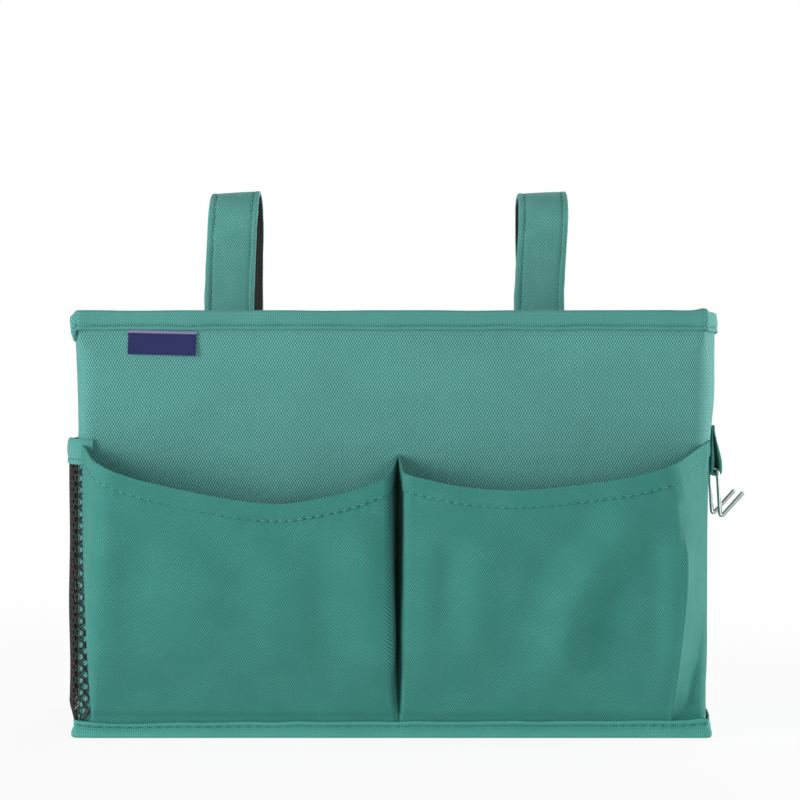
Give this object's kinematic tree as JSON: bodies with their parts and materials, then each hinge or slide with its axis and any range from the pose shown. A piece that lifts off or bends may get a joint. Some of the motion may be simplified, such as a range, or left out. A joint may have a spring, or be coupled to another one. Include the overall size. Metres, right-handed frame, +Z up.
{
  "type": "bedside caddy",
  "caption": "Hanging cloth box with two front pockets, a side net pocket, a wire key hook on a fabric tab, and straps that loop over a bed rail and close with grip tape.",
  "frame": {"origin": "middle of the underside of the base", "axes": "+Z up, +X to the right as seen from the front, +Y towards the bed rail; the front faces -Y"},
  "size_m": [0.3225, 0.176, 0.261],
  "materials": {
    "body_cloth": "coarse woven oxford cloth, matt with a slight sheen on the yarns",
    "binding_tape": "folded strips of the same cloth, stitched along one edge",
    "net": "black knitted net with round holes",
    "grip_tape": "black hook and loop tape, matt",
    "label_cloth": "fine satin weave, plain navy",
    "stiffener": "plain grey-brown board, hidden under the lining",
    "wire": "bright plated round wire"
  },
  "bodies": {
    "bag": {"front_panel": "body_cloth", "back_panel": "body_cloth", "left_side_panel": "body_cloth", "right_side_panel": "body_cloth", "bottom_panel": "body_cloth", "bottom_board": "stiffener", "bottom_lining": "body_cloth", "front_left_corner_tape": "binding_tape", "back_left_corner_tape": "binding_tape", "front_right_corner_tape": "binding_tape", "back_right_corner_tape": "binding_tape", "rim_binding": "binding_tape", "base_binding": "binding_tape", "left_front_pocket": "body_cloth", "right_front_pocket": "body_cloth", "side_mesh_pocket": "net", "mesh_pocket_binding": "binding_tape", "label": "label_cloth", "left_strap_riser": "binding_tape", "right_strap_riser": "binding_tape", "left_loop_tape": "grip_tape", "right_loop_tape": "grip_tape"},
    "left_strap": {"left_strap_flap": "binding_tape", "left_hook_tape": "grip_tape"},
    "right_strap": {"right_strap_flap": "binding_tape", "right_hook_tape": "grip_tape"},
    "tab": {"hook_tab": "binding_tape"},
    "hook": {"key_hook": "wire"}
  },
  "joints": [
    {"name": "left_strap_open", "type": "hinge", "parent": "bag", "child": "left_strap", "pos_m": [-0.082, 0.07555, 0.261], "axis": [1, 0, 0], "range_deg": [0, 165]},
    {"name": "right_strap_open", "type": "hinge", "parent": "bag", "child": "right_strap", "pos_m": [0.076, 0.07555, 0.261], "axis": [1, 0, 0], "range_deg": [0, 165]},
    {"name": "hook_tab_swing", "type": "hinge", "parent": "bag", "child": "tab", "pos_m": [0.15429, 0, 0.142], "axis": [0, -1, 0], "range_deg": [0, 80]},
    {"name": "key_hook_swing", "type": "hinge", "parent": "tab", "child": "hook", "pos_m": [0.15496, 0, 0.1203], "axis": [0, -1, 0], "range_deg": [0, 110]}
  ]
}
